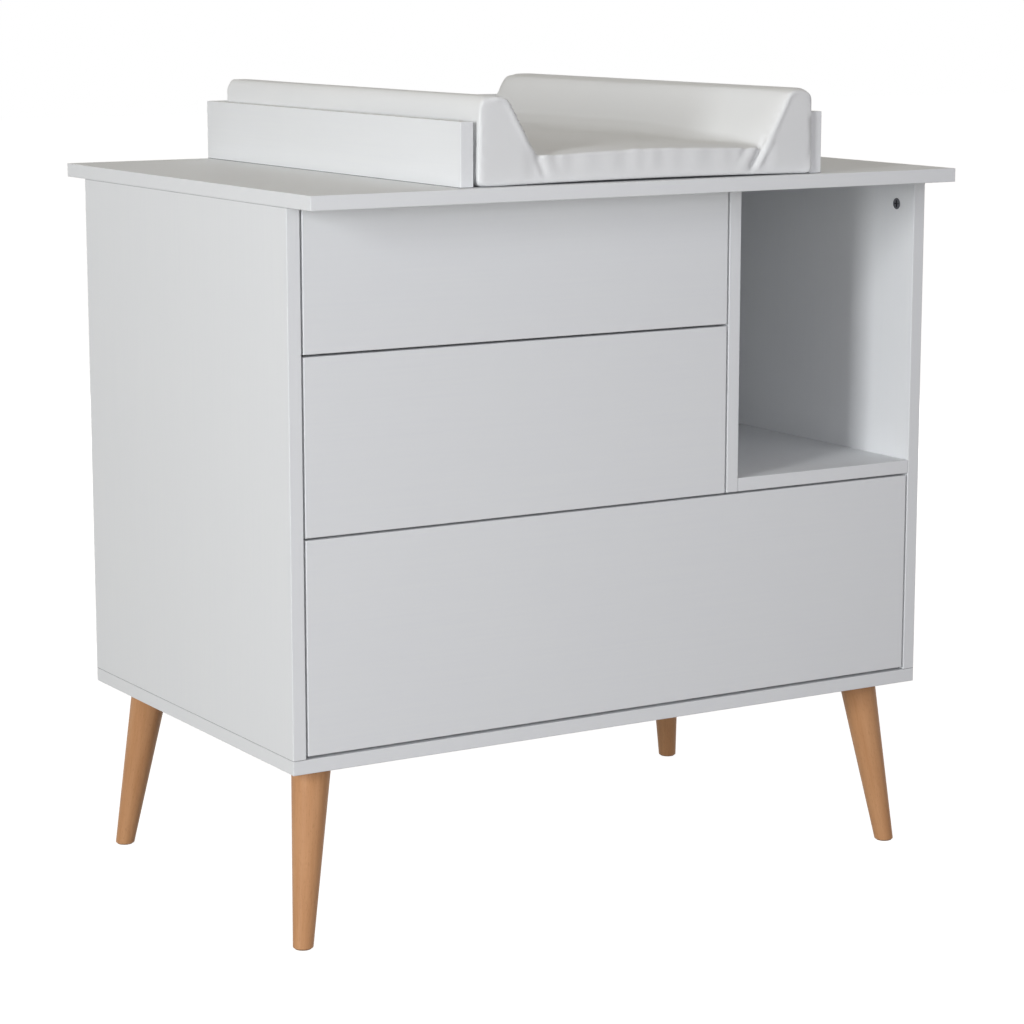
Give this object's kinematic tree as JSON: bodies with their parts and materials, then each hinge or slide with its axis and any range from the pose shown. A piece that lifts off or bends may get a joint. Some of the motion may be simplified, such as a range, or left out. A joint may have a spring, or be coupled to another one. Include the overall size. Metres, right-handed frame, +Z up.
{
  "type": "changing table",
  "caption": "White changing dresser with inset handle-less drawers, an open compartment, a tray with a raised-side foam mat on top, and splayed tapered wooden legs.",
  "frame": {"origin": "on the floor, below the middle of the top panel", "axes": "+Z up, front towards -Y, +X to the right of someone facing the drawer fronts"},
  "size_m": [0.97, 0.717, 1.0593],
  "materials": {
    "white_melamine": "matt white melamine on chipboard",
    "white_hardboard": "white coated hardboard",
    "leg_wood": "clear satin varnish on beech",
    "dowel_wood": "raw beech",
    "mat_cover": "white wipe-clean coated cover over foam",
    "slide_steel": "zinc plated",
    "bracket_steel": "white powder coat",
    "fastener_steel": "zinc plated",
    "cam_zinc": "dark die-cast zinc",
    "glide_plastic": "moulded",
    "push_unit_plastic": "moulded"
  },
  "bodies": {
    "cabinet": {"back_panel": "white_hardboard", "bottom_panel": "white_melamine", "cam_bolts": "fastener_steel", "cam_locks": "cam_zinc", "compartment_shelf": "white_melamine", "divider_panel": "white_melamine", "front_left_leg": "leg_wood", "front_right_leg": "leg_wood", "left_side_panel": "white_melamine", "left_tray_board": "white_melamine", "leg_bolts": "fastener_steel", "leg_glides": "glide_plastic", "leg_inserts": "fastener_steel", "leg_pins": "dowel_wood", "outer_rail_screws": "fastener_steel", "outer_rails": "slide_steel", "panel_dowels": "dowel_wood", "panel_screws": "fastener_steel", "push_units": "push_unit_plastic", "rear_left_leg": "leg_wood", "rear_right_leg": "leg_wood", "rear_tray_board": "white_melamine", "right_side_panel": "white_melamine", "right_tray_board": "white_melamine", "top_panel": "white_melamine", "tray_screws": "fastener_steel", "wall_brackets": "bracket_steel"},
    "bottom_drawer": {"bottom_drawer_back": "white_melamine", "bottom_drawer_back_screws": "fastener_steel", "bottom_drawer_bottom": "white_hardboard", "bottom_drawer_cam_bolts": "fastener_steel", "bottom_drawer_cam_locks": "cam_zinc", "bottom_drawer_front": "white_melamine", "bottom_drawer_inner_rails": "slide_steel", "bottom_drawer_left_side": "white_melamine", "bottom_drawer_right_side": "white_melamine"},
    "bottom_drawer_middle_slides": {"bottom_drawer_middle_rails": "slide_steel"},
    "centre_drawer": {"centre_drawer_back": "white_melamine", "centre_drawer_back_screws": "fastener_steel", "centre_drawer_bottom": "white_hardboard", "centre_drawer_cam_bolts": "fastener_steel", "centre_drawer_cam_locks": "cam_zinc", "centre_drawer_front": "white_melamine", "centre_drawer_inner_rails": "slide_steel", "centre_drawer_left_side": "white_melamine", "centre_drawer_right_side": "white_melamine"},
    "centre_drawer_middle_slides": {"centre_drawer_middle_rails": "slide_steel"},
    "top_drawer": {"top_drawer_back": "white_melamine", "top_drawer_back_screws": "fastener_steel", "top_drawer_bottom": "white_hardboard", "top_drawer_cam_bolts": "fastener_steel", "top_drawer_cam_locks": "cam_zinc", "top_drawer_front": "white_melamine", "top_drawer_inner_rails": "slide_steel", "top_drawer_left_side": "white_melamine", "top_drawer_right_side": "white_melamine"},
    "top_drawer_middle_slides": {"top_drawer_middle_rails": "slide_steel"},
    "mat": {"changing_mat": "mat_cover"}
  },
  "joints": [
    {"name": "bottom_drawer_slide", "type": "slide", "parent": "cabinet", "child": "bottom_drawer", "axis": [0, -1, 0], "range_m": [-0.003, 0.45]},
    {"name": "bottom_drawer_middle_slide", "type": "slide", "parent": "cabinet", "child": "bottom_drawer_middle_slides", "axis": [0, -1, 0], "range_m": [-0.002, 0.226]},
    {"name": "centre_drawer_slide", "type": "slide", "parent": "cabinet", "child": "centre_drawer", "axis": [0, -1, 0], "range_m": [-0.003, 0.45]},
    {"name": "centre_drawer_middle_slide", "type": "slide", "parent": "cabinet", "child": "centre_drawer_middle_slides", "axis": [0, -1, 0], "range_m": [-0.002, 0.226]},
    {"name": "top_drawer_slide", "type": "slide", "parent": "cabinet", "child": "top_drawer", "axis": [0, -1, 0], "range_m": [-0.003, 0.45]},
    {"name": "top_drawer_middle_slide", "type": "slide", "parent": "cabinet", "child": "top_drawer_middle_slides", "axis": [0, -1, 0], "range_m": [-0.002, 0.226]},
    {"name": "mat_lift", "type": "slide", "parent": "cabinet", "child": "mat", "axis": [0, 0, 1], "range_m": [0, 0.25]}
  ],
  "couplings": [
    {"joint": "bottom_drawer_middle_slide", "follows": "bottom_drawer_slide", "ratio": 0.5},
    {"joint": "centre_drawer_middle_slide", "follows": "centre_drawer_slide", "ratio": 0.5},
    {"joint": "top_drawer_middle_slide", "follows": "top_drawer_slide", "ratio": 0.5}
  ]
}
